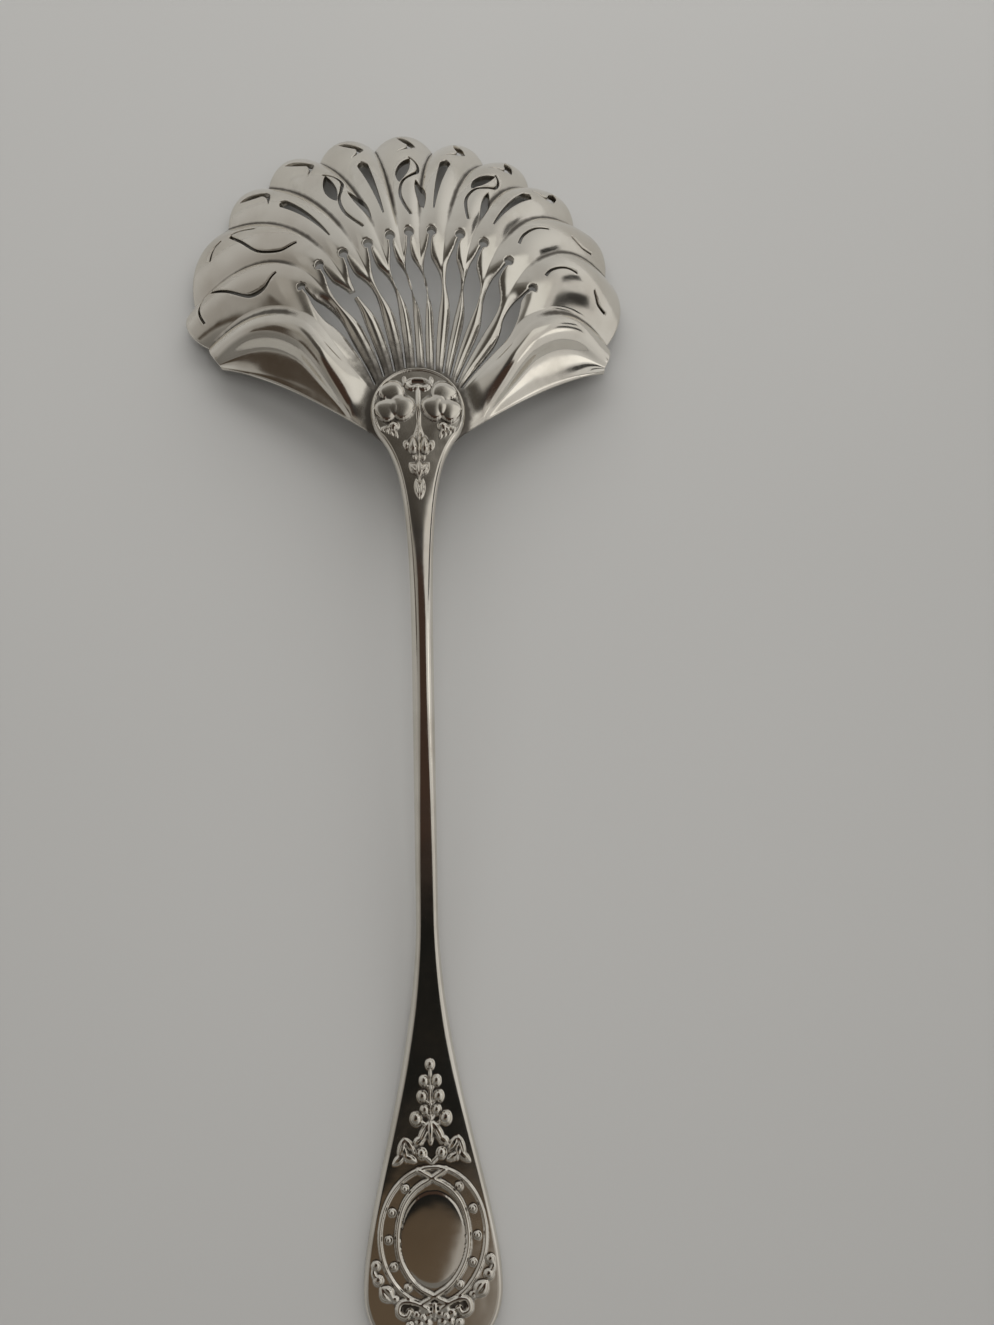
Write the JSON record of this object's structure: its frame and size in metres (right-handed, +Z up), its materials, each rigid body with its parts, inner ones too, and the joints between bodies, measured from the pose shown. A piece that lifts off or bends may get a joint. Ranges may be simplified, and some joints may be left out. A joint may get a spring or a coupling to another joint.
{
  "type": "sugar sifter spoon",
  "caption": "Silver serving spoon with a fluted, pierced shell bowl soldered under the round drop of a struck handle, laid face down.",
  "frame": {"origin": "on the table, under the middle of the spoon's length and width", "axes": "+Y from the handle's end to the bowl's tip, +X to the right of the ornament, +Z up from the table, out of the bowl's back"},
  "size_m": [0.0784, 0.205, 0.0138],
  "materials": {
    "bowl_silver": "worn polished silver, darkened in the creases",
    "handle_silver": "worn polished silver, dark patina in the relief",
    "hard_solder": "dull solder film"
  },
  "bodies": {
    "root": {"shell_bowl": "bowl_silver", "handle": "handle_silver", "solder_seam": "hard_solder"}
  },
  "joints": []
}
